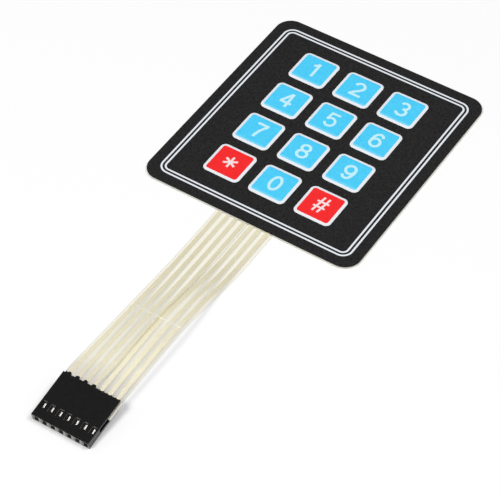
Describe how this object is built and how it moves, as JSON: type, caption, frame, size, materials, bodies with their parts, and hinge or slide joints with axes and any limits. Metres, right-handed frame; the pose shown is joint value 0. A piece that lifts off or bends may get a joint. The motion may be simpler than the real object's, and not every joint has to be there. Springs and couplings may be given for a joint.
{
  "type": "membrane keypad",
  "caption": "Thin self-adhesive membrane keypad with square printed keys, two flat circuit tails side by side and a black female pin socket at their end.",
  "frame": {"origin": "middle of the pad's back face, on the release liner", "axes": "+Z out of the keys, +Y towards the top row of keys, +X along the rows to the right; the tails leave towards -Y"},
  "size_m": [0.0692, 0.1631, 0.0049],
  "materials": {
    "overlay_black": "fine matte texture",
    "print_white": "matte print",
    "print_blue": "matte print",
    "print_red": "matte print",
    "circuit_film": "clear film, slightly milky",
    "cover_film": "clear film, glossy",
    "conductive_ink": "printed silver ink, warm grey",
    "spacer_film": "milky film",
    "adhesive": "clear acrylic adhesive",
    "liner_paper": "siliconised paper",
    "housing_black": "moulded, satin",
    "contact_metal": "tin plated"
  },
  "bodies": {
    "root": {"release_liner": "liner_paper", "rear_adhesive": "adhesive", "lower_circuit_film": "circuit_film", "row_traces": "conductive_ink", "row_tail_cover": "cover_film", "circuit_spacer": "spacer_film", "upper_circuit_film": "circuit_film", "column_traces": "conductive_ink", "column_tail_cover": "cover_film", "overlay_adhesive": "adhesive", "graphic_overlay": "overlay_black", "white_print": "print_white", "blue_key_print": "print_blue", "red_key_print": "print_red", "connector_housing": "housing_black", "terminal_1": "contact_metal", "terminal_2": "contact_metal", "terminal_3": "contact_metal", "terminal_4": "contact_metal", "terminal_5": "contact_metal", "terminal_6": "contact_metal", "terminal_7": "contact_metal"}
  },
  "joints": []
}
